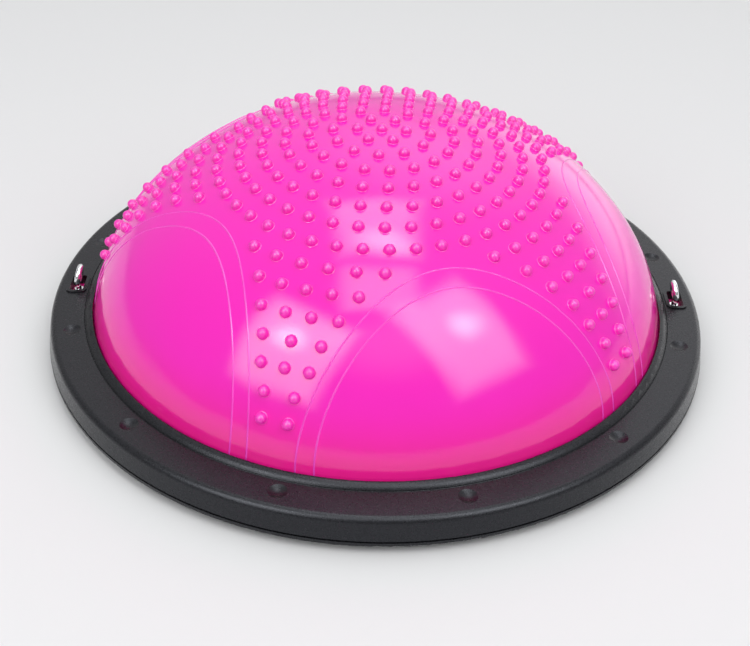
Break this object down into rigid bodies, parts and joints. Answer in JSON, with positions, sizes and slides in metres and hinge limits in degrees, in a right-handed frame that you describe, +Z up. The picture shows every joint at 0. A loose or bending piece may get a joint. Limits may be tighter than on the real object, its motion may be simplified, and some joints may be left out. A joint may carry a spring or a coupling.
{
  "type": "balance dome trainer",
  "caption": "Half-ball balance trainer: an air-filled dome with massage nubs clamped into a round base with an eye bolt on each side for bands",
  "frame": {"origin": "on the floor, at the middle of the base", "axes": "+Z is up through the crown of the dome, +X runs through the right-hand eye bolt, and the picture looks along +Y"},
  "size_m": [0.605, 0.605, 0.2075],
  "materials": {
    "dome_pvc": "soft glossy PVC, bright pink",
    "base_plastic": "fine-grained moulded plastic, charcoal",
    "bright_chrome": "polished chrome plate",
    "plated_steel": "zinc plate",
    "black_rubber": "matte rubber, black"
  },
  "bodies": {
    "base": {"upper_ring": "base_plastic", "lower_base": "base_plastic", "bladder_floor": "dome_pvc", "ring_screws": "plated_steel", "valve_body": "dome_pvc", "eye_left": "bright_chrome", "eye_right": "bright_chrome", "eye_top_nut_left": "bright_chrome", "eye_top_nut_right": "bright_chrome", "eye_washer_left": "plated_steel", "eye_washer_right": "plated_steel", "eye_nut_left": "plated_steel", "eye_nut_right": "plated_steel", "foot_1": "black_rubber", "foot_2": "black_rubber", "foot_3": "black_rubber", "foot_4": "black_rubber", "foot_5": "black_rubber", "foot_6": "black_rubber", "foot_7": "black_rubber", "foot_8": "black_rubber"},
    "dome_cap": {"dome": "dome_pvc"},
    "stopper": {"valve_plug": "black_rubber"}
  },
  "joints": [
    {"name": "dome_press", "type": "slide", "parent": "base", "child": "dome_cap", "axis": [0, 0, -1], "range_m": [0, 0.06], "stiffness_N_per_m": 12000, "springref_m": -0.005, "deforming": ["dome"]},
    {"name": "plug_pull", "type": "slide", "parent": "base", "child": "stopper", "axis": [0, 0, -1], "range_m": [0, 0.02]}
  ]
}
